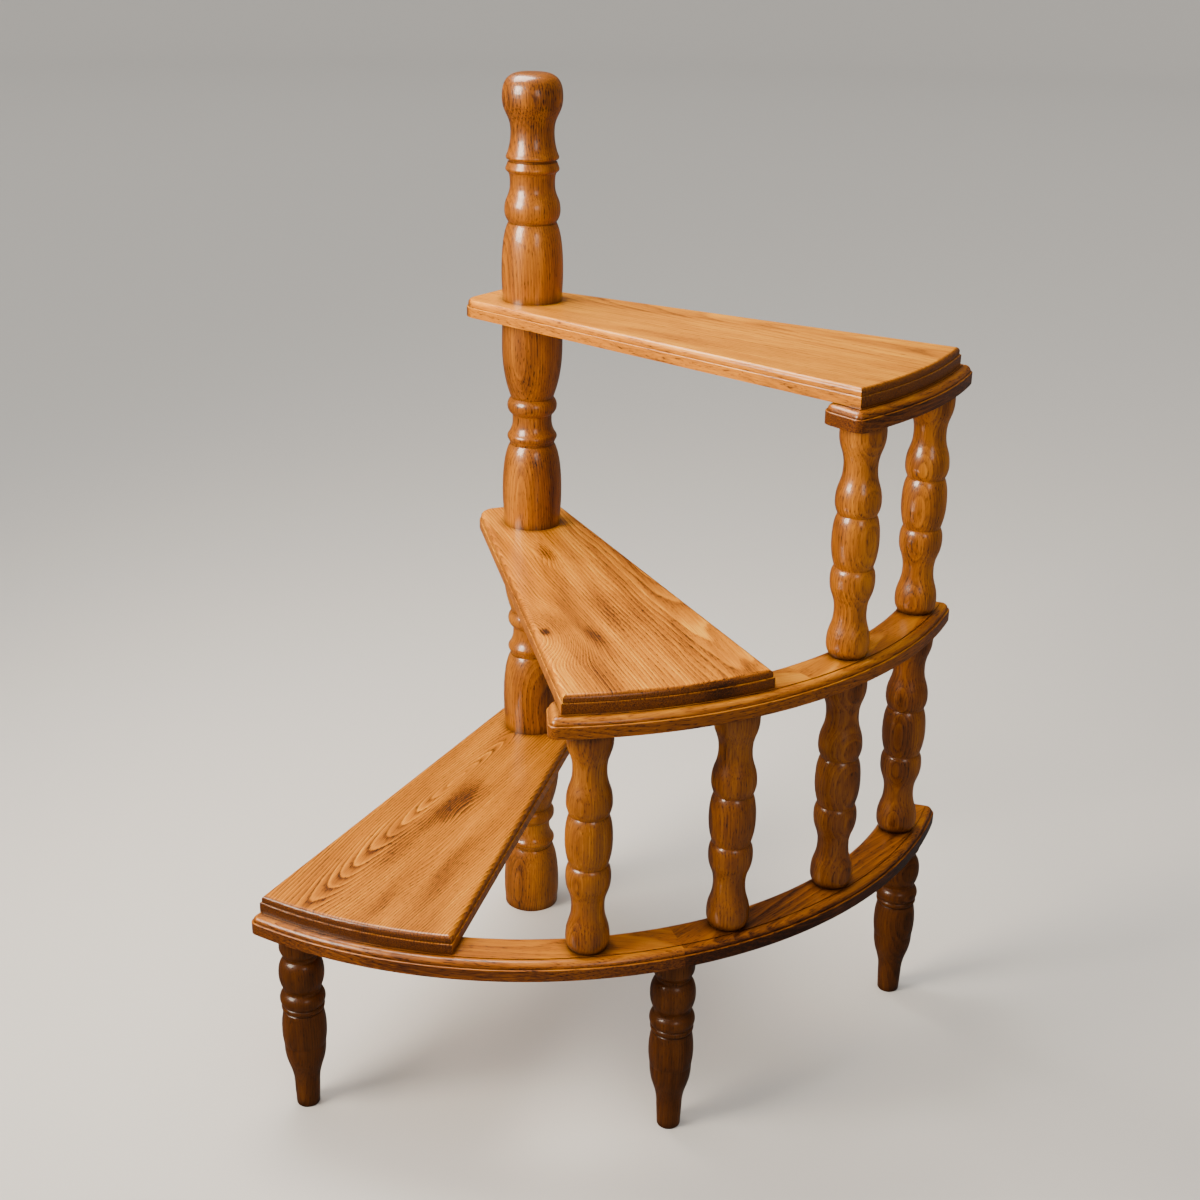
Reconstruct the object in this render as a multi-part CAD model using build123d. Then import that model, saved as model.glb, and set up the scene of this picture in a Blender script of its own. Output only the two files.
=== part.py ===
from build123d import *
from math import asin, cos, degrees, radians, sin, sqrt, tan
import os

os.makedirs("parts", exist_ok=True)

# Library steps: three wedge treads winding up round one turned post.
# Millimetres. The origin lies on the post axis at the floor, +Z is up and -Y is the front.
# Angles are plan angles in degrees from +X, anticlockwise seen from above.

# Driving dimensions
rise = 250.0
leg_height = 199.0
handle_height = 232.0
tread_thickness = 17.8
rail_thickness = 19.0
tread_reach = 460.0
tread_half_width = 53.5
tread_spread = 6.1
rail_width = 50.0
rail_overhang = 5.1
post_radius = 32.5
spindle_radius = 22.4
spindle_half_pitch = 9.2
leg_radius = 22.4
tread_angles = [-112.0, -74.0, -38.1]
leg_angles = [-120.4, -72.1, -25.6]

# Tread edge: a plain face, a ledge and a rounded arris; every ledge has its own outer edge eased
tread_fall = 7.5
tread_ledge = 1.6
tread_round = 4.5
bead = 0.9

# Rail edge: a plain face, a ledge, an ovolo and a small step up to the field
ovolo = 6.2
ledge = 1.8
step_height = 0.8
field_inset = 9.8

# Joinery
clearance = 0.15
post_tenon_radius = 15.0
post_tenon_grip = 35.0
tenon_radius = 7.0
tongue_length = 12.0

# Sizes that follow
rail_outer = tread_reach + 11.5
rail_inner = rail_outer - rail_width
rail_tail_corner = 0.28 * rail_width
rail_nose_corner = ledge + ovolo + 0.5
spindle_circle = rail_outer - 0.57 * rail_width
leg_circle = rail_outer - 0.54 * rail_width
tread_tail = post_radius + 28.5
tread_tail_corner = 22.0
tenon_length = rail_thickness / 2 - 1.5
tongue_thickness = rail_thickness / 3
tongue_width = 0.44 * rail_width
rail_top = [leg_height + rail_thickness + rise * i for i in range(3)]
tread_top = [z + tread_thickness for z in rail_top]
lower_angles = [tread_angles[i] + s * spindle_half_pitch for i in (1, 2) for s in (-1, 1)]
upper_angles = lower_angles[2:]


def spot(radius, angle, z=0.0):
    """Location at a radius and a plan angle, at height z."""
    return Location((radius * cos(radians(angle)), radius * sin(radians(angle)), z))


def turned(start, moves, k, h, z0):
    """Spin a profile read from the bottom up, radii stretched by k, heights by h, lifted to z0.

    Each move is (kind, radius, height, bulge). An ogee is upright at both ends. A shoulder is
    upright at its foot and leans at its top. A spring leans at its foot and is upright at its top.
    """
    r, z = start[0] * k, start[1] * h + z0
    foot = z
    edges = [Line((0, z), (r, z))]
    for kind, r2, z2, bulge in moves:
        r2, z2 = r2 * k, z2 * h + z0
        a, b = (r, z), (r2, z2)
        step = z2 - z
        if kind == "line":
            edges.append(Line(a, b))
        elif kind == "arc":
            edges.append(SagittaArc(a, b, -bulge * k))
        elif kind == "ogee":
            edges.append(Bezier(a, (r, z + step / 2), (r2, z2 - step / 2), b))
        elif kind == "shoulder":
            edges.append(Bezier(a, (r, z + 0.50 * step), (r2 + 0.62 * (r - r2), z + 0.84 * step), b))
        elif kind == "spring":
            edges.append(Bezier(a, (r + 0.38 * (r2 - r), z + 0.16 * step), (r2, z + 0.50 * step), b))
        r, z = r2, z2
    edges.append(Line((r, z), (0, z)))
    edges.append(Line((0, z), (0, foot)))
    return revolve(Plane.XZ * make_face(edges), Axis.Z)


def peg(radius, z0, z1):
    """Plain round peg on the axis, from z0 up to z1."""
    return Pos(0, 0, z0) * Cylinder(radius, z1 - z0, align=(Align.CENTER, Align.CENTER, Align.MIN))


def post_section(z0, z1, cut):
    """One post section between two treads, shortened at its foot by cut."""
    moves = [
        ("ogee", 32.5, 38 - cut, 0),
        ("shoulder", 24.4, 91.7 - cut, 0),
        ("line", 23.6, 92.2 - cut, 0),
        ("line", 23.6, 94.2 - cut, 0),
        ("line", 25.0, 94.8 - cut, 0),
        ("line", 25.2, 96.4 - cut, 0),
        ("line", 25.8, 96.8 - cut, 0),
        ("arc", 26.2, 103 - cut, 1.0),
        ("spring", 21.3, 118 - cut, 0),
        ("line", 21.4, 123 - cut, 0),
        ("line", 21.9, 125.2 - cut, 0),
        ("arc", 22.8, 143.8 - cut, 4.6),
        ("line", 23.2, 144.6 - cut, 0),
        ("spring", 32.5, 200 - cut, 0),
        ("ogee", 32.2, 232.2 - cut, 0),
    ]
    body = turned((31.2, 0), moves, post_radius / 32.5, (z1 - z0) / (232.2 - cut), z0)
    return body + peg(post_tenon_radius, z1, z1 + tread_thickness + post_tenon_grip)


def socket(z0):
    """Bore in the foot of a post section, for the tenon that comes up through the tread."""
    return peg(post_tenon_radius + clearance, z0, z0 + post_tenon_grip + 1)


def handle(z0):
    """The tall hand grip with its collar and knob."""
    moves = [
        ("ogee", 32.6, 30, 0),
        ("shoulder", 25.7, 81, 0),
        ("line", 24.9, 81.4, 0),
        ("line", 24.9, 82.4, 0),
        ("line", 25.6, 82.7, 0),
        ("spring", 29.4, 94, 0),
        ("ogee", 23.5, 121.5, 0),
        ("shoulder", 25.0, 132.4, 0),
        ("line", 27.2, 134.4, 0),
        ("arc", 27.9, 137.6, 0.5),
        ("line", 25.7, 143.5, 0),
        ("line", 24.7, 144.0, 0),
        ("line", 24.7, 145.4, 0),
        ("line", 26.8, 146.4, 0),
        ("arc", 27.4, 149.6, 0.5),
        ("spring", 22.7, 173.5, 0),
        ("ogee", 31.4, 208.5, 0),
        ("shoulder", 24.5, 227.8, 0),
        ("arc", 13.5, 232, 0.9),
    ]
    return turned((31.8, 0), moves, post_radius / 32.5, handle_height / 232.0, z0)


def spindle(z0, z1):
    """One short spindle between two rails, with a round tenon at each end."""
    moves = [
        ("spring", 20.9, 12, 0),
        ("ogee", 15.6, 45, 0),
        ("ogee", 21.4, 77, 0),
        ("shoulder", 18.2, 89.6, 0),
        ("spring", 22.4, 115.5, 0),
        ("shoulder", 18.2, 141.4, 0),
        ("spring", 21.6, 154, 0),
        ("ogee", 16.0, 187, 0),
        ("ogee", 21.8, 220, 0),
        ("shoulder", 20.2, 231, 0),
    ]
    body = turned((17.2, 0), moves, spindle_radius / 22.4, (z1 - z0) / 231.0, z0)
    return body + peg(tenon_radius, z0 - tenon_length, z1 + tenon_length)


def leg(z1):
    """One turned leg from the floor to the underside of the bottom rail."""
    moves = [
        ("line", 11.6, 1.2, 0),
        ("line", 12.6, 22, 0),
        ("ogee", 20.6, 73, 0),
        ("arc", 19.6, 111.5, 2.0),
        ("line", 18.9, 112.2, 0),
        ("line", 19.5, 113, 0),
        ("arc", 20.6, 118.6, 1.2),
        ("line", 20.0, 119.2, 0),
        ("line", 20.6, 119.8, 0),
        ("arc", 18.2, 134.2, 2.9),
        ("arc", 18.4, 138, -0.5),
        ("spring", 22.4, 154, 0),
        ("shoulder", 16.6, 171.5, 0),
        ("arc", 16.8, 175, -0.3),
        ("spring", 20.8, 184, 0),
        ("line", 20.8, 199, 0),
    ]
    body = turned((11.0, 0), moves, leg_radius / 22.4, z1 / 199.0, 0)
    return body + peg(tenon_radius, z1, z1 + tenon_length)


def wedge(inset):
    """Plan of a tread along +X, drawn in from its edge by inset."""
    g = radians(tread_spread)
    reach = tread_reach - inset
    tail = inset - tread_tail
    a = (tread_half_width - inset) / cos(g)
    t = tan(g)
    x = (sqrt(reach ** 2 * (1 + t * t) - a * a) - a * t) / (1 + t * t)
    y = a + x * t
    y_tail = a + tail * t
    edges = [
        Line((tail, y_tail), (tail, -y_tail)),
        Line((tail, -y_tail), (x, -y)),
        ThreePointArc((x, -y), (reach, 0), (x, y)),
        Line((x, y), (tail, y_tail)),
    ]
    face = make_face(edges)
    return fillet(face.vertices().group_by(Axis.X)[0], tread_tail_corner - inset)


def sector(a0, a1, inset):
    """Plan of a curved rail from angle a0 to a1, drawn in from its edge by inset."""
    r1 = rail_inner + inset
    r2 = rail_outer - inset
    s1 = degrees(asin(inset / r1))
    s2 = degrees(asin(inset / r2))
    p = [spot(r2, a0 + s2), spot(r2, (a0 + a1) / 2), spot(r2, a1 - s2)]
    q = [spot(r1, a1 - s1), spot(r1, (a0 + a1) / 2), spot(r1, a0 + s1)]
    p = [v.position for v in p]
    q = [v.position for v in q]
    face = make_face([ThreePointArc(*p), Line(p[2], q[0]), ThreePointArc(*q), Line(q[2], p[0])])
    corners = [v for v in face.vertices() if (v.X ** 2 + v.Y ** 2) ** 0.5 < (r1 + r2) / 2]
    face = fillet(corners, rail_tail_corner - inset)
    if inset < rail_nose_corner:
        corners = [v for v in face.vertices() if (v.X ** 2 + v.Y ** 2) ** 0.5 > r2 - 1]
        face = fillet(corners, rail_nose_corner - inset)
    return face


def tread_board():
    """A tread along +X with its moulded edge, standing on the level zero."""
    lower = extrude(wedge(0), tread_thickness - tread_fall)
    lower = fillet(lower.edges().group_by(Axis.Z)[-1], bead)
    upper = extrude(wedge(tread_ledge), tread_thickness)
    upper = fillet(upper.edges().group_by(Axis.Z)[-1], tread_round)
    return lower + upper


def rail_board(a0, a1, z1):
    """A curved rail from angle a0 to a1 with its moulded edge; its field lies at z1."""
    lower = extrude(sector(a0, a1, 0), rail_thickness - step_height - ovolo)
    lower = fillet(lower.edges().group_by(Axis.Z)[-1], bead)
    upper = extrude(sector(a0, a1, ledge), rail_thickness - step_height)
    upper = fillet(upper.edges().group_by(Axis.Z)[-1], ovolo - 0.05)
    field = extrude(sector(a0, a1, field_inset), rail_thickness)
    return Pos(0, 0, z1 - rail_thickness) * (lower + upper + field)


def bored(part, circle, angles, z, depth):
    """Cut blind round mortises up (depth above 0) or down from the level z."""
    align = (Align.CENTER, Align.CENTER, Align.MIN if depth > 0 else Align.MAX)
    for angle in angles:
        part -= spot(circle, angle, z) * Cylinder(tenon_radius + clearance, abs(depth), align=align)
    return part


def beyond(angle):
    """A block that holds all that lies past a plan angle, to part a rail in two."""
    side = 3 * rail_outer
    return Rot(0, 0, angle) * Box(side, side, 4 * rail_top[1], align=(Align.CENTER, Align.MIN, Align.CENTER))


def save(name, part):
    """Write one solid to its own file."""
    solid = part.solids()[0]
    solid.label = name
    export_step(solid, "parts/" + name + ".step")


# Post
foot_cut = rise - tread_thickness - rail_top[0]
save("post_foot_section", post_section(0.0, rail_top[0], foot_cut))
for i, name in enumerate(("lower", "upper")):
    section = post_section(tread_top[i], rail_top[i + 1], 0.0) - socket(tread_top[i])
    save("post_" + name + "_section", section)
save("post_handle", handle(tread_top[2]) - socket(tread_top[2]))

# Treads
tread = tread_board() - peg(post_tenon_radius + clearance, 0, tread_thickness)
for i, angle in enumerate(tread_angles):
    save("tread_" + str(i + 1), Pos(0, 0, rail_top[i]) * Rot(0, 0, angle) * tread)

# Bottom rail, in two lengths that meet over the middle leg
deep = tenon_length + 0.5
rail = rail_board(leg_angles[0] - rail_overhang, leg_angles[2] + rail_overhang, rail_top[0])
rail = bored(rail, leg_circle, leg_angles, leg_height, deep)
rail = bored(rail, spindle_circle, lower_angles, rail_top[0], -deep)
far = beyond(leg_angles[1])
save("bottom_rail_left", rail - far)
save("bottom_rail_right", rail & far)

# Middle rail, in two lengths with a hidden tongue
ends = [lower_angles[0] - rail_overhang, lower_angles[3] + rail_overhang]
middle = (ends[0] + ends[1]) / 2
rail = rail_board(ends[0], ends[1], rail_top[1])
rail = bored(rail, spindle_circle, lower_angles, rail_top[1] - rail_thickness, deep)
rail = bored(rail, spindle_circle, upper_angles, rail_top[1], -deep)
far = beyond(middle)
seat = spot(rail_outer - rail_width / 2, middle, rail_top[1] - rail_thickness / 2) * Rot(0, 0, middle + 90)
tongue = seat * Box(2 * tongue_length, tongue_width, tongue_thickness)
mortise = seat * Box(2 * tongue_length + 2, tongue_width + 2 * clearance, tongue_thickness + 2 * clearance)
save("middle_rail_left", rail - far + (tongue & far))
save("middle_rail_right", (rail & far) - mortise)

# Top rail
rail = rail_board(upper_angles[0] - rail_overhang, upper_angles[1] + rail_overhang, rail_top[2])
save("top_rail", bored(rail, spindle_circle, upper_angles, rail_top[2] - rail_thickness, deep))

# Spindles and legs
short = spindle(rail_top[0], rail_top[1] - rail_thickness)
for i, angle in enumerate(lower_angles):
    save("lower_spindle_" + str(i + 1), spot(spindle_circle, angle) * short)
for i, angle in enumerate(upper_angles):
    save("upper_spindle_" + str(i + 1), spot(spindle_circle, angle, rise) * short)
for name, angle in zip(("left", "middle", "right"), leg_angles):
    save("leg_" + name, spot(leg_circle, angle) * leg(leg_height))
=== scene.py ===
# %% [markdown]
# # Library steps that wind round a turned post
#
# The CAD model already holds every piece of these steps at its true size. This lesson dresses it:
# it sets a camera where the photographer stood, lights a plain studio, and works out a solid wood
# texture that runs through each piece the way the grain ran through the plank it was cut from.

from math import cos, pi, radians, sin

import bpy
import numpy as np
from mathutils import Matrix, Vector


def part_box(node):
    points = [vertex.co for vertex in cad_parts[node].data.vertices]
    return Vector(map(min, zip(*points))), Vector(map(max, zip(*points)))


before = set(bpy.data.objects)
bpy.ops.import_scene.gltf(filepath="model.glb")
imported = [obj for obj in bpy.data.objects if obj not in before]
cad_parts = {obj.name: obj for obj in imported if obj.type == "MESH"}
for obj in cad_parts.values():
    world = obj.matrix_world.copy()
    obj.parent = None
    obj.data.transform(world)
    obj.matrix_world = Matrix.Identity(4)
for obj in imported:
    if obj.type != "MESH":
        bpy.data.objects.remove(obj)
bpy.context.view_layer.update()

# %% [markdown]
# ## Camera
#
# A pinhole camera was fitted to about 150 points of the photograph: tread corners, rail curves,
# spindle feet and the outline of the post. Its place, its direction and its focal length in pixels
# come straight from that fit, so the object lands on the same pixels as in the picture.

# %% Put the camera where the photographer stood
PHOTO_WIDTH = 1200
SENSOR = 36.0
FOCAL_PIXELS = 1759.1
CAMERA_PLACE = (0.0, -1.8536, 1.1397)
PITCH, YAW, ROLL = radians(21.97), radians(2.39), radians(0.97)


def camera_axes(pitch, yaw, roll):
    """Forward is north turned right by yaw and dipped by pitch; right and up roll about it."""
    forward = Vector((sin(yaw) * cos(pitch), cos(yaw) * cos(pitch), -sin(pitch)))
    right = Vector((cos(yaw), -sin(yaw), 0.0))
    up = right.cross(forward)
    return cos(roll) * right + sin(roll) * up, cos(roll) * up - sin(roll) * right, forward


right, up, forward = camera_axes(PITCH, YAW, ROLL)
camera_data = bpy.data.cameras.new("photo_camera")
camera_data.sensor_width = SENSOR
camera_data.lens = FOCAL_PIXELS / PHOTO_WIDTH * SENSOR
camera = bpy.data.objects.new("photo_camera", camera_data)
bpy.context.scene.collection.objects.link(camera)
turn = Matrix((right, up, -forward)).transposed()
camera.matrix_world = Matrix.Translation(CAMERA_PLACE) @ turn.to_4x4()
bpy.context.scene.camera = camera
print("lens mm", round(camera_data.lens, 2), "place", CAMERA_PLACE)

# %% [markdown]
# ## Helpers for materials
#
# Colours are written as the sRGB values a paint chart gives, and one function turns them into the
# linear light that shaders add up. Another adds a node, applies its settings, links its inputs and
# hands back one output, so each material below reads like a recipe.

# %% Colour and node helpers


def linear(hex_colour, alpha=1.0):
    """Turn an sRGB hex value into the linear colour that shaders work with."""
    value = np.array([int(hex_colour[i:i + 2], 16) for i in (1, 3, 5)]) / 255.0
    value = np.where(value <= 0.04045, value / 12.92, ((value + 0.055) / 1.055) ** 2.4)
    return (*value.tolist(), alpha)


def add(tree, kind, inputs=None, output=0, stops=(), **settings):
    """Add one node with its settings, ramp stops and inputs (values or links); return an output."""
    made = tree.nodes.new(kind)
    for key, value in settings.items():
        setattr(made, key, value)
    for place, colour in stops[1:-1]:
        made.color_ramp.elements.new(place).color = colour
    for end in (0, -1) if stops else ():
        made.color_ramp.elements[end].color = stops[end][1]
    for key, value in (inputs or {}).items():
        if isinstance(value, bpy.types.NodeSocket):
            tree.links.new(value, made.inputs[key])
        else:
            made.inputs[key].default_value = value
    return made.outputs[output]


def empty_material(name):
    """A new node material that holds only its output; returns the material, tree and output."""
    material = bpy.data.materials.new(name)
    material.use_nodes = True
    tree = material.node_tree
    tree.nodes.clear()
    return material, tree, tree.nodes.new("ShaderNodeOutputMaterial")


# %% [markdown]
# ## Studio
#
# The object stands on a wide sheet of pale paper that curves up all round, like a studio cove, so
# that no horizon shows from any side. The lacquer doesn't mirror the paper, because in the
# photograph the room round the steps is dark, and a pale room would veil the brown.

# %% Pale floor


def paper_cove(flat, radius, height, rings=48, spokes=96):
    """Level out to flat, then z = height * t ** 2 where t runs from 0 there to 1 at the radius."""
    r = np.concatenate([[flat / 2], np.linspace(flat, radius, rings - 1)])
    z = height * np.clip((r - flat) / (radius - flat), 0, 1) ** 2
    turn = 2 * pi * np.arange(spokes) / spokes
    grid = [np.outer(r, np.cos(turn)), np.outer(r, np.sin(turn)), np.outer(z, np.ones(spokes))]
    grid = np.stack(grid, -1)
    points = np.vstack([grid.reshape(-1, 3), [[0.0, 0.0, 0.0]]])
    i, j = np.meshgrid(np.arange(rings - 1), np.arange(spokes), indexing="ij")
    k = (j + 1) % spokes
    near, far = i * spokes, (i + 1) * spokes
    quads = np.stack([near + j, far + j, far + k, near + k], -1).reshape(-1, 4)
    first = np.arange(spokes)
    fan = np.stack([np.full(spokes, rings * spokes), first, (first + 1) % spokes], -1)
    return points.tolist(), quads.tolist() + fan.tolist()


COVE_FLAT, COVE_RADIUS, COVE_HEIGHT = 11.0, 22.0, 17.0
floor_mesh = bpy.data.meshes.new("studio_floor")
floor_points, floor_faces = paper_cove(COVE_FLAT, COVE_RADIUS, COVE_HEIGHT)
floor_mesh.from_pydata(floor_points, [], floor_faces)
floor_mesh.shade_smooth()
floor = bpy.data.objects.new("studio_floor", floor_mesh)
bpy.context.scene.collection.objects.link(floor)

# Uncoated card has a tooth of about a millimetre, which only takes the shine off it.
PAPER_GREY = "#c8c5c0"
TOOTH_PER_METRE, TOOTH_DEPTH = 900.0, 0.0002
paper, tree, out = empty_material("Pale uncoated paper")
here = add(tree, "ShaderNodeTexCoord", output="Object")
tooth = add(tree, "ShaderNodeTexNoise", {"Vector": here, "Scale": TOOTH_PER_METRE, "Detail": 2.0})
tooth = add(tree, "ShaderNodeBump", {"Strength": 0.1, "Distance": TOOTH_DEPTH, "Height": tooth})
sheet = add(tree, "ShaderNodeBsdfPrincipled",
            {"Base Color": linear(PAPER_GREY), "Roughness": 0.85, "Normal": tooth})
tree.links.new(sheet, out.inputs["Surface"])
floor_mesh.materials.append(paper)
floor.visible_glossy = False
print("floor faces", len(floor_faces))

# %% [markdown]
# The photograph's highlights tell where its lamps were: a long soft stripe down the left of every
# bead comes from a big soft box at the left, the bright line on each moulded edge and on top of the
# knob from one overhead, and the faint stripe in the middle of each spindle from a weak fill beside
# the camera. A wide ceiling lights the paper evenly and stays out of the lacquer's reflections.

# %% Soft lamps


def lamp(name, place, aim, size, watts, colour, spread=180):
    """A square area lamp at place that faces aim; a small spread is a soft box with a grid."""
    data = bpy.data.lights.new(name, "AREA")
    data.size, data.energy = size, watts
    data.color, data.spread = linear(colour)[:3], radians(spread)
    thing = bpy.data.objects.new(name, data)
    bpy.context.scene.collection.objects.link(thing)
    thing.location = place
    thing.rotation_euler = (Vector(aim) - Vector(place)).to_track_quat("-Z", "Y").to_euler()
    return thing


lamp("left_box", (-1.6, -1.0, 1.5), (0.0, -0.1, 0.8), 0.95, 30.0, "#fff0dd", 90)
lamp("top_box", (-0.3, 0.15, 1.65), (0.05, -0.2, 0.5), 0.6, 25.0, "#fff6ea")
lamp("front_fill", (0.75, -2.3, 1.35), (0.1, -0.2, 0.5), 0.7, 1.6, "#fffaf2", 90)
ceiling = lamp("ceiling", (0.0, 0.0, 14.0), (0.0, 0.0, 0.0), 30.0, 3900.0, "#fffdfa")
ceiling.visible_glossy = False
world = bpy.data.worlds.new("studio_air")
world.use_nodes = True
world.node_tree.nodes["Background"].inputs["Color"].default_value = linear("#f0eeeb")
world.node_tree.nodes["Background"].inputs["Strength"].default_value = 0.10
bpy.context.scene.world = world

# %% [markdown]
# ## Wood
#
# The real steps look like a ring-porous hardwood such as oak, planed or turned, with a brown stain
# under satin lacquer. Wood is solid all through, so its pattern is worked out in space
# and not painted on: growth rings are tubes round a pith line, fibres and pores run along it, and a
# turned bead cuts through them as the turner's gouge did. Coordinates are turned into the plank's
# own millimetres first: x across, y up through the board and z along the grain.

# %% Plank coordinates
MILLIMETRE = 0.001


def plank_axes(along, up_hint):
    """Turn of a plank whose z runs with the grain and whose y is as near to up_hint as can be."""
    z = Vector(along).normalized()
    x = Vector(up_hint).cross(z).normalized()
    return Matrix((x, z.cross(x), z)).transposed().to_euler()


print("upright plank turn", tuple(round(v, 3) for v in plank_axes((0, 0, 1), (0, -1, 0))))

# %% [markdown]
# Two recipes serve every pattern below. The first is noise whose grains have a real width and
# length in millimetres. The second is a smooth oval spot in the board's face, which can be a knot
# that pushes the rings aside or a patch where the stain went in deeper.

# %% Long grains and soft spots
ANY_DEPTH = 1e5


def stretched_noise(tree, where, size, detail, roughness=0.5, output="Fac"):
    """Noise whose grains are about size[0] millimetres wide and size[1] millimetres long."""
    across, along = size
    squeeze = (1 / across, 1 / across, 1 / along)
    local = add(tree, "ShaderNodeMapping", {"Vector": where, "Scale": squeeze})
    return add(tree, "ShaderNodeTexNoise",
               {"Vector": local, "Scale": 1.0, "Detail": detail, "Roughness": roughness}, output)


def soft_spot(tree, where, x, z, wide, long, peak):
    """peak * smooth fall from 1 at (x, z) to 0 on the oval wide by long, alike at every depth."""
    oval = {"Vector": where, "Location": (x, 0, z), "Scale": (wide, ANY_DEPTH, long)}
    local = add(tree, "ShaderNodeMapping", oval, vector_type="TEXTURE")
    gap = add(tree, "ShaderNodeVectorMath", {0: local}, "Value", operation="LENGTH")
    fall = {"Value": gap, "From Max": 1.0, "To Min": peak, "To Max": 0.0}
    return add(tree, "ShaderNodeMapRange", fall, interpolation_type="SMOOTHERSTEP")


# %% [markdown]
# A trunk is never straight, so the rings wander: slow bends about 55 mm across and 210 mm long move
# each point sideways by up to `bend` millimetres. A lean of the pith makes the board's face cut the
# rings at a slant, which is what draws tongues and arches. A knot is added to the ring radius as a
# soft bump. The result counts years from the pith.

# %% Growth rings
WANDER = (55.0, 210.0)
FIBRE_PUSH = 0.45


def years_from_pith(tree, plank, moved, fibre, ring, bend, lean, knots):
    """(distance from the bent, leaning pith + knots + fibre push) / ring."""
    drift = stretched_noise(tree, moved, WANDER, 2.0, 0.45, "Color")
    drift = add(tree, "ShaderNodeVectorMath", {0: drift, 1: (0.5, 0.5, 0.5)}, operation="SUBTRACT")
    sideways = (2 * bend, 2 * bend, 0.0)
    drift = add(tree, "ShaderNodeVectorMath", {0: drift, 1: sideways}, operation="MULTIPLY")
    bent = add(tree, "ShaderNodeVectorMath", {0: plank, 1: drift}, operation="ADD")
    x, y, z = add(tree, "ShaderNodeSeparateXYZ", {0: bent}).node.outputs
    x = add(tree, "ShaderNodeMath", {0: z, 1: lean[0], 2: x}, operation="MULTIPLY_ADD")
    y = add(tree, "ShaderNodeMath", {0: z, 1: lean[1], 2: y}, operation="MULTIPLY_ADD")
    level = add(tree, "ShaderNodeCombineXYZ", {"X": x, "Y": y})
    radius = add(tree, "ShaderNodeVectorMath", {0: level}, "Value", operation="LENGTH")
    for knot in knots:
        bump = soft_spot(tree, plank, *knot)
        radius = add(tree, "ShaderNodeMath", {0: radius, 1: bump}, operation="ADD")
    push = FIBRE_PUSH * ring
    radius = add(tree, "ShaderNodeMath", {0: fibre, 1: push, 2: radius}, operation="MULTIPLY_ADD")
    return add(tree, "ShaderNodeMath", {0: radius, 1: ring}, operation="DIVIDE")


# %% [markdown]
# Each year's growth starts with a band of open pores, which takes the stain and goes dark, and ends
# in dense pale wood. So the tone rises slowly through a ring and drops at once to the next. No two
# years are alike, so white noise gives each its own strength. Grain that is cut across takes more
# stain and shows less of the pattern, so the tread's front is calm and dark.
#
# Real rings are 1 to 4 mm wide and pores 0.3 mm by a few millimetres. One pixel of the picture is
# about a millimetre of wood, so pores are drawn 1 mm by 8 mm and fibres 1.3 mm by 46 mm, which is
# coarser than real. The slow bands of colour, 21 mm by 170 mm, are as on the real boards.

# %% Tone of the grain
FIBRE, CLOUD, PORE = (1.3, 46.0), (21.0, 170.0), (1.0, 8.0)
YEAR_TONES = ((0.0, 0.16), (0.08, 0.0), (0.34, 0.40), (0.66, 0.62),
              (0.86, 1.0), (0.95, 0.85), (1.0, 0.16))
MEAN_TONE = 0.45
LEAST_YEAR, YEAR_SPREAD = 0.55, 0.7
FIBRE_TONE, CLOUD_TONE, PORE_TONE = 0.55, 2.2, -0.24
PORES_OPEN, PORES_FULL = 0.59, 0.70
END_CALM = -0.8
EARLY_PORES, SPOT_PORES = 0.14, 0.38


def year_band(tree, years):
    """The tone within the year, and a random number from 0 to 1 that each year keeps."""
    phase = add(tree, "ShaderNodeMath", {0: years}, operation="FRACT")
    greys = [(at, (v, v, v, 1)) for at, v in YEAR_TONES]
    band = add(tree, "ShaderNodeValToRGB", {"Fac": phase}, stops=greys)
    year = add(tree, "ShaderNodeMath", {0: years}, operation="FLOOR")
    return band, add(tree, "ShaderNodeTexWhiteNoise", {"W": year}, noise_dimensions="1D")


def cut_across(tree, facing, along):
    """1 where the surface faces along the grain, 0 where it lies beside it."""
    grain = Vector(along).normalized()
    end_on = add(tree, "ShaderNodeVectorMath", {0: facing, 1: grain}, "Value",
                 operation="DOT_PRODUCT")
    end_on = add(tree, "ShaderNodeMath", {0: end_on}, operation="ABSOLUTE")
    return add(tree, "ShaderNodeMapRange", {"Value": end_on, "From Min": 0.2, "From Max": 0.65})


def upright(tree, facing):
    """1 where the surface stands upright, as a board's edge does, 0 where it lies level."""
    level = add(tree, "ShaderNodeSeparateXYZ", {0: facing}, "Z")
    level = add(tree, "ShaderNodeMath", {0: level}, operation="ABSOLUTE")
    fall = {"Value": level, "From Min": 0.1, "From Max": 0.85, "To Min": 1.0, "To Max": 0.0}
    return add(tree, "ShaderNodeMapRange", fall)


print("tones in a year", [v for _, v in YEAR_TONES])

# %% [markdown]
# The finish is satin lacquer: clear, with an index of refraction of 1.5, and rubbed down so that
# lamps show as soft stripes. It is thin enough that open pores still sink in it a little, so the
# fibres and pores also drive a bump of a quarter of a millimetre. Ambient occlusion within 13 mm
# darkens every quirk and groove and every place where two parts meet: partly the stain and wax that
# gather there, partly painted shade. Turned and moulded faces keep a crisp coat, and level ones are
# hazier. The wood under the coat has a roughness near 0.33, smoother on dense fibres, which gives
# the wide glow round each sharp highlight.

# %% Lacquered wood
LACQUER_IOR = 1.5
PORE_DEPTH, PORE_RELIEF = 0.25 * MILLIMETRE, 0.25
GROOVE_REACH = 13 * MILLIMETRE
GROOVE_STAIN_AND_SHADE, GROOVE_SHUT, GROOVE_OPEN = 0.9, 0.30, 0.88
ROUGHEST, SMOOTHEST = 0.40, 0.28
CRISP = 0.12
TONE_STOPS = (0.0, 0.16, 0.44, 0.72, 1.0)


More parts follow.
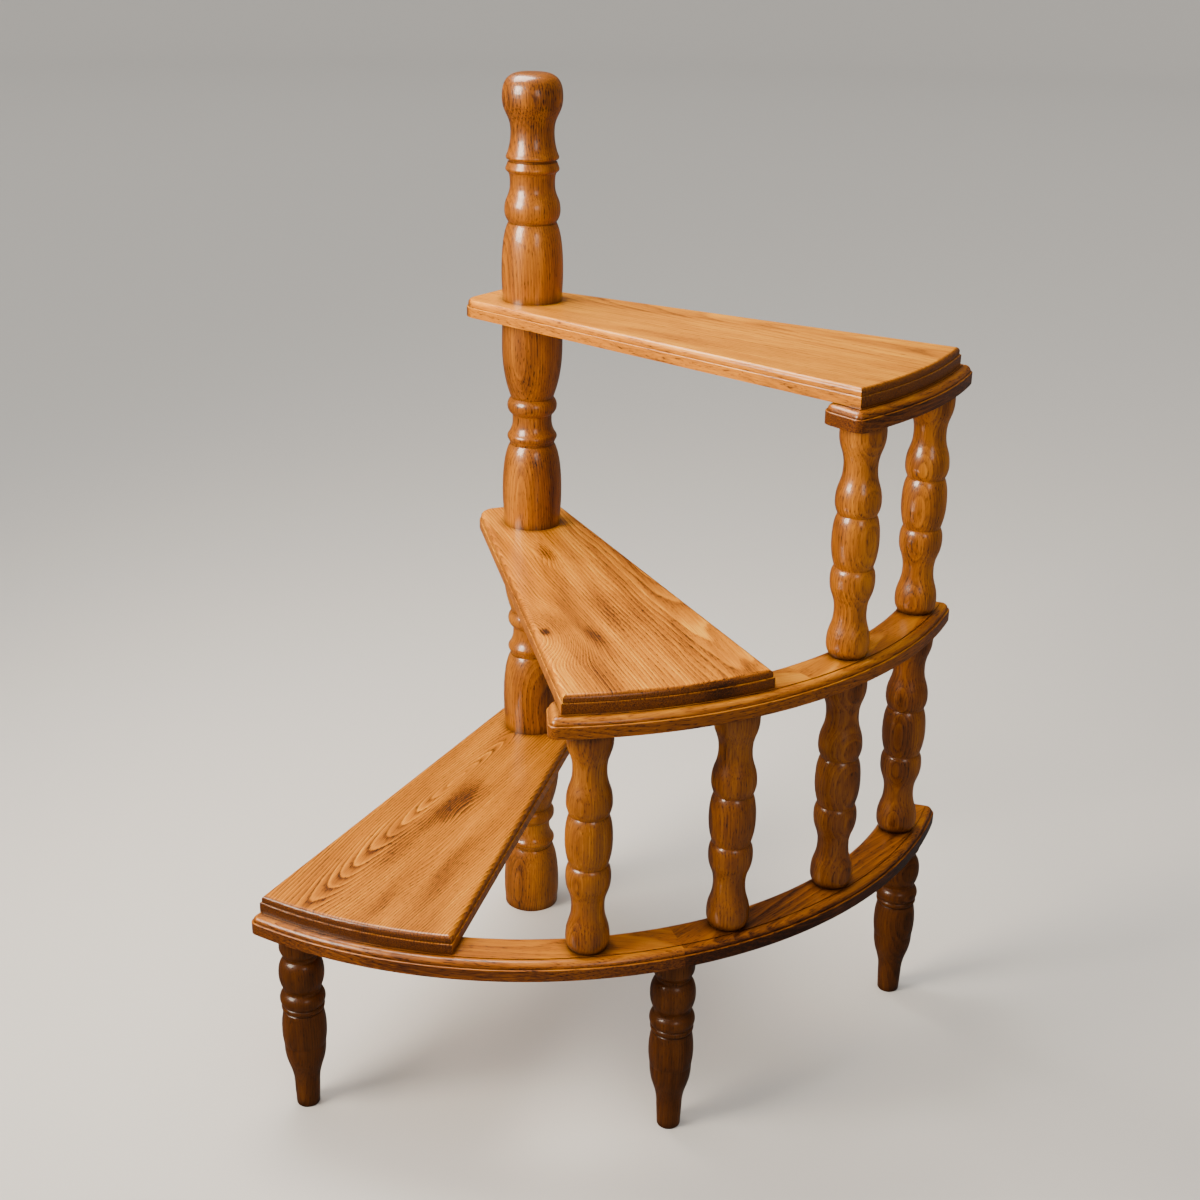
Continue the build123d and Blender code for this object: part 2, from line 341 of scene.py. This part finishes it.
def wood(name, pith, along, up_hint, palette, ring, rings, clouds, seed, lean=(0.0, 0.0), bend=5.0,
         start=0.5, edges=0.0, ends=0.0, calm_edges=0.0, knots=(), stains=(),
         shine=0.5, body=0.35, haze=CRISP):
    """Tone = start + rings * year band + clouds * slow noise + fibres - spots, edges and pores."""
    material, tree, out = empty_material(name)
    here = add(tree, "ShaderNodeTexCoord", output="Object")
    facing = here.node.outputs["Normal"]
    space = {"Vector": here, "Location": pith, "Scale": (MILLIMETRE,) * 3,
             "Rotation": plank_axes(along, up_hint)}
    plank = add(tree, "ShaderNodeMapping", space, vector_type="TEXTURE")
    shift = (seed * 137.0, seed * 253.0, seed * 571.0)
    moved = add(tree, "ShaderNodeVectorMath", {0: plank, 1: shift}, operation="ADD")
    fibre = stretched_noise(tree, moved, FIBRE, 3.0, 0.62)
    cloud = stretched_noise(tree, moved, CLOUD, 2.5)
    years = years_from_pith(tree, plank, moved, fibre, ring, bend, lean, knots)
    band, year = year_band(tree, years)

    end_on, side_on = cut_across(tree, facing, along), upright(tree, facing)
    calm = add(tree, "ShaderNodeMath", {0: end_on, 1: END_CALM, 2: 1.0}, operation="MULTIPLY_ADD")
    calm = add(tree, "ShaderNodeMath", {0: side_on, 1: -calm_edges, 2: calm},
               operation="MULTIPLY_ADD", use_clamp=True)
    swing = add(tree, "ShaderNodeMath", {0: year, 1: YEAR_SPREAD * rings, 2: LEAST_YEAR * rings},
                operation="MULTIPLY_ADD")
    swing = add(tree, "ShaderNodeMath", {0: swing, 1: calm}, operation="MULTIPLY")
    band_off = add(tree, "ShaderNodeMath", {0: band, 1: MEAN_TONE}, operation="SUBTRACT")
    tone = add(tree, "ShaderNodeMath", {0: band_off, 1: swing, 2: start}, operation="MULTIPLY_ADD")
    cloud_off = add(tree, "ShaderNodeMath", {0: cloud, 1: 0.5}, operation="SUBTRACT")
    cloud_off = add(tree, "ShaderNodeMath", {0: cloud_off, 1: calm}, operation="MULTIPLY")
    tone = add(tree, "ShaderNodeMath", {0: cloud_off, 1: CLOUD_TONE * clouds, 2: tone},
               operation="MULTIPLY_ADD")
    fibre_off = add(tree, "ShaderNodeMath", {0: fibre, 1: 0.5}, operation="SUBTRACT")
    tone = add(tree, "ShaderNodeMath", {0: fibre_off, 1: FIBRE_TONE, 2: tone},
               operation="MULTIPLY_ADD")

    pitted = add(tree, "ShaderNodeMath", {0: band, 1: -EARLY_PORES, 2: EARLY_PORES / 2},
                 operation="MULTIPLY_ADD")
    for stain in stains:
        weight = soft_spot(tree, plank, *stain)
        tone = add(tree, "ShaderNodeMath", {0: tone, 1: weight}, operation="SUBTRACT")
        pitted = add(tree, "ShaderNodeMath", {0: weight, 1: SPOT_PORES, 2: pitted},
                     operation="MULTIPLY_ADD")
    # Upright faces are darkened by edges: partly deeper stain, partly painted shade, as they turn
    # from the overhead lamp.
    tone = add(tree, "ShaderNodeMath", {0: side_on, 1: -edges, 2: tone}, operation="MULTIPLY_ADD")
    tone = add(tree, "ShaderNodeMath", {0: end_on, 1: -ends, 2: tone}, operation="MULTIPLY_ADD")
    dash = stretched_noise(tree, moved, PORE, 1.5)
    dash = add(tree, "ShaderNodeMath", {0: dash, 1: pitted}, operation="ADD")
    pore = add(tree, "ShaderNodeMapRange",
               {"Value": dash, "From Min": PORES_OPEN, "From Max": PORES_FULL})
    tone = add(tree, "ShaderNodeMath", {0: pore, 1: PORE_TONE, 2: tone}, operation="MULTIPLY_ADD")

    shades = [linear(shade) for shade in palette]
    colour = add(tree, "ShaderNodeValToRGB", {"Fac": tone}, stops=list(zip(TONE_STOPS, shades)))
    # Ambient occlusion darkens grooves and joints between parts: stain and wax that gather there,
    # and painted shade.
    hollow = add(tree, "ShaderNodeAmbientOcclusion", {"Distance": GROOVE_REACH}, "AO", samples=8)
    recess_stain_and_shade = add(tree, "ShaderNodeMapRange",
                 {"Value": hollow, "From Min": GROOVE_SHUT, "From Max": GROOVE_OPEN,
                  "To Min": GROOVE_STAIN_AND_SHADE, "To Max": 0.0})
    stained = add(tree, "ShaderNodeMix", {"Factor": recess_stain_and_shade, 6: colour, 7: shades[0]}, 2,
                  data_type="RGBA")

    rough = add(tree, "ShaderNodeMapRange", {"Value": fibre, "From Min": 0.3, "From Max": 0.7,
                                             "To Min": ROUGHEST, "To Max": SMOOTHEST})
    polish = add(tree, "ShaderNodeMapRange", {"Value": side_on, "To Min": haze, "To Max": CRISP})
    height = add(tree, "ShaderNodeMath", {0: pore, 1: -1.0, 2: fibre}, operation="MULTIPLY_ADD")
    relief = add(tree, "ShaderNodeBump",
                 {"Strength": PORE_RELIEF, "Distance": PORE_DEPTH, "Height": height})
    skin = add(tree, "ShaderNodeBsdfPrincipled", {
        "Base Color": stained, "Metallic": 0.0, "Roughness": rough, "Normal": relief,
        "IOR": LACQUER_IOR, "Specular IOR Level": body,
        "Coat Weight": shine, "Coat Roughness": polish, "Coat IOR": LACQUER_IOR})
    tree.links.new(skin, out.inputs["Surface"])
    return material


def dress(node, material):
    """Give a CAD node one material."""
    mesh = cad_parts[node].data
    mesh.materials.clear()
    mesh.materials.append(material)


# %% [markdown]
# ## Treads
#
# Each tread is one planed plank with its own figure. The first was cut across the top of a cone of
# rings, so pale tongues nest round its middle. The second holds a knot at its left edge with an eye
# beside it. The third is calm and straight. The pith of each plank lies under its top face, and
# leans so that the cut shows that figure. Flat faces were rubbed down more than edges and turned
# work, so their lacquer is hazier and throws back less. Spots are given as x, z, width, length in
# millimetres and strength. Palettes run from groove stain and painted shade through early wood to
# pale late wood. The top tread's paler palette and the bottom tread's lower start are painted light
# and painted shade, for the top tread sits nearest the overhead lamp and the bottom one farthest.

# %% Dress the treads
HONEY = ("#2c1405", "#623206", "#9e5a07", "#c2780c", "#dea12c")
STRAW_AND_PAINTED_LIGHT = ("#2c1405", "#703c07", "#b46c0a", "#d48e14", "#e8b044")
FLAT_HAZE, FLAT_SHINE, FLAT_BODY = 0.26, 0.40, 0.25
# The treads' upright faces are darkened a little by the edge value: partly deeper stain, partly
# painted shade.
END_STAIN, EDGE_STAIN_AND_SHADE, EDGE_CALM = 0.28, 0.10, 0.6
TREADS = (
    # The bottom tread's lower start is painted shade: it sits farthest from the overhead lamp.
    {"angle": -112.0, "pith": (0.200, -0.028, 0.003), "palette": HONEY, "lean": (0.095, 0.105),
     "ring": 2.9, "rings": 0.54, "clouds": 0.26, "start": 0.46,
     "knots": ((26, 10, 26, 70, 9), (62, 130, 24, 110, -7)),
     "stains": ((30, 0, 28, 76, 0.34), (20, 45, 20, 56, 0.18), (74, 120, 16, 110, 0.16),
                (10, 108, 34, 80, 0.15), (44, 222, 9, 60, 0.14))},
    {"angle": -74.0, "pith": (0.300, 0.075, 0.055), "palette": HONEY, "lean": (0.0, 0.03),
     "bend": 7.0, "ring": 3.3, "rings": 0.42, "clouds": 0.50, "start": 0.53,
     "knots": ((-150, 5, 56, 105, 34), (-90, -200, 18, 60, 6)),
     "stains": ((-150, 7, 9, 17, 0.50), (-143, -12, 36, 50, 0.16), (-88, -200, 13, 44, 0.30),
                (-106, 30, 12, 40, 0.22), (-76, -16, 26, 120, 0.18), (-30, 90, 34, 220, 0.14))},
    # The top tread's paler palette is painted light: it sits nearest the overhead lamp.
    {"angle": -38.1, "pith": (0.200, 0.070, 0.090), "palette": STRAW_AND_PAINTED_LIGHT, "lean": (0.04, -0.03),
     "bend": 6.0, "ring": 4.0, "rings": 0.22, "clouds": 0.34},
)


def on_plan(radius, angle, z=0.0):
    """A point from a radius in metres and a plan angle in degrees."""
    return Vector((radius * cos(radians(angle)), radius * sin(radians(angle)), z))


for number, figure in enumerate(TREADS, 1):
    angle, (reach, side, depth) = figure["angle"], figure["pith"]
    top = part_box("tread_%d" % number)[1][2]
    pith = on_plan(reach, angle, top - depth) + on_plan(side, angle + 90)
    rest = {key: value for key, value in figure.items() if key not in ("angle", "pith")}
    material = wood("Planed stained oak, tread %d" % number, pith, on_plan(1.0, angle), (0, 0, 1),
                    seed=float(number), edges=EDGE_STAIN_AND_SHADE, ends=END_STAIN, calm_edges=EDGE_CALM,
                    haze=FLAT_HAZE, shine=FLAT_SHINE, body=FLAT_BODY, **rest)
    dress("tread_%d" % number, material)
    print("tread", number, "pith", tuple(round(v, 3) for v in pith))

# %% [markdown]
# ## Turned pieces and rails
#
# The post, the spindles and the legs were turned from squares whose grain runs upright, with the
# pith a little outside each blank, so that the rings show as tall arches and eyes where a bead cuts
# them. The legs have the darkest palette and least lacquer, the lower spindles the next darkest:
# partly deeper stain, partly painted shade, as they stand in shade under the treads and rails.
# Hands have darkened the knob. Each piece gets its own pith and lean, worked out from its place in
# the list, so that no two match.

# %% Dress the post, spindles and legs
AMBER = ("#160701", "#3a1b04", "#7e4505", "#a76409", "#cf9124")
CHESTNUT_WITH_SHADE = ("#140601", "#2f1503", "#633203", "#884f07", "#ae741a")
UMBER_WITH_SHADE = ("#120601", "#231002", "#3f1e02", "#552d05", "#704411")
ANY_WIDTH = ANY_DEPTH
HAND_WORN = ((0.0, 92.0, ANY_WIDTH, 78.0, 0.12),)


def middle_of(node):
    """The middle of a node's box."""
    low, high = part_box(node)
    return Vector([(a + b) / 2 for a, b in zip(low, high)])


TURNED_RING, TURNED_SWING = 2.8, 0.17
turned = [(i, n) for i, n in enumerate(sorted(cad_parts))
          if "tread" not in n and "rail" not in n]
for index, name in turned:
    away = 0.045 + 0.018 * sin(2.3 * index)
    pith = middle_of(name) + away * Vector((cos(index * 2.1), sin(index * 2.1), 0.0))
    leg = "leg" in name
    # The darker palettes of the legs and lower spindles are partly deeper stain, partly painted
    # shade.
    palette = UMBER_WITH_SHADE if leg else CHESTNUT_WITH_SHADE if "lower_spindle" in name else AMBER
    shine, body = (0.25, 0.2) if leg else (0.5, 0.35)
    material = wood("Turned stained oak, %s" % name.replace("_", " "), pith, (0, 0, 1), (0, -1, 0),
                    palette, ring=TURNED_RING, rings=TURNED_SWING, clouds=0.40, seed=index + 0.5,
                    lean=(0.05 * sin(3.0 * index), 0.05 * cos(3.0 * index)), shine=shine, body=body,
                    stains=HAND_WORN if name == "post_handle" else ())
    dress(name, material)
print("turned pieces", len(turned))

# %% [markdown]
# The rails are curved boards with moulded edges, sawn from planks whose grain runs along each
# length. Their upright faces are darker than their tops: partly more stain, partly painted shade
# where they turn from the overhead lamp. The middle rail is a lighter board than the rest. The
# bottom rail's right length is painted darker, which is painted shade where that end lies in shade.

# %% Dress the rails
RUSSET = ("#1f0b02", "#4a2305", "#8c4d07", "#b16d0c", "#cf9224")
# The bottom rail's right length gets a low start, which is painted shade; the middle rail is a
# lighter board.
BOARD_TONES_AND_SHADE = {"middle_rail_left": 0.62, "middle_rail_right": 0.56, "bottom_rail_right": 0.36}
PITH_BELOW = Vector((0, 0, 0.060))
rails = [n for n in sorted(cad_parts) if "rail" in n]
for index, name in enumerate(rails):
    centre = middle_of(name)
    along = (-centre.y, centre.x, 0.0)
    # edges darkens the rails' upright faces: partly more stain, partly painted shade.
    material = wood("Moulded stained oak, %s" % name.replace("_", " "), centre - PITH_BELOW,
                    along, (0, 0, 1), RUSSET, ring=4.0, rings=0.22, clouds=0.30, seed=index + 20.5,
                    lean=(0.03, 0.05), bend=6.0, start=BOARD_TONES_AND_SHADE.get(name, 0.5),
                    edges=0.30, calm_edges=0.5, haze=FLAT_HAZE, shine=FLAT_SHINE, body=FLAT_BODY)
    dress(name, material)
print("rails", rails, "materials", len(bpy.data.materials))
